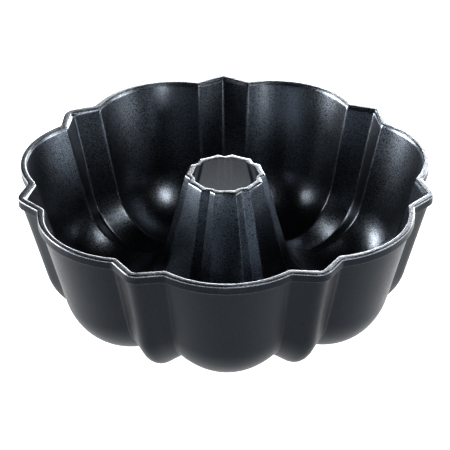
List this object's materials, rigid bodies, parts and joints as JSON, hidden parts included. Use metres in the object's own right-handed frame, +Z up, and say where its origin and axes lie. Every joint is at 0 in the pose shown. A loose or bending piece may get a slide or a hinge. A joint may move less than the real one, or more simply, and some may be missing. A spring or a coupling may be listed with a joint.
{
  "type": "fluted ring cake pan",
  "caption": "Cast aluminium ring cake pan with a centre tube, broad outward lobes with narrow ribs between them, and dark non-stick coats.",
  "frame": {"origin": "on the tube's axis, in the plane of the lands that the pan rests on", "axes": "+Z up along the tube's axis, -Y towards the middle of a lobe, +Y towards the crest of a rib"},
  "size_m": [0.2564, 0.26, 0.089],
  "materials": {
    "cast_metal": "ground cast aluminium",
    "release_coat": "semi-gloss black non-stick coat with a fine speckle",
    "outer_coat": "satin graphite coat"
  },
  "bodies": {
    "root": {"pan_casting": "cast_metal", "interior_coating": "release_coat", "exterior_coating": "outer_coat"}
  },
  "joints": []
}
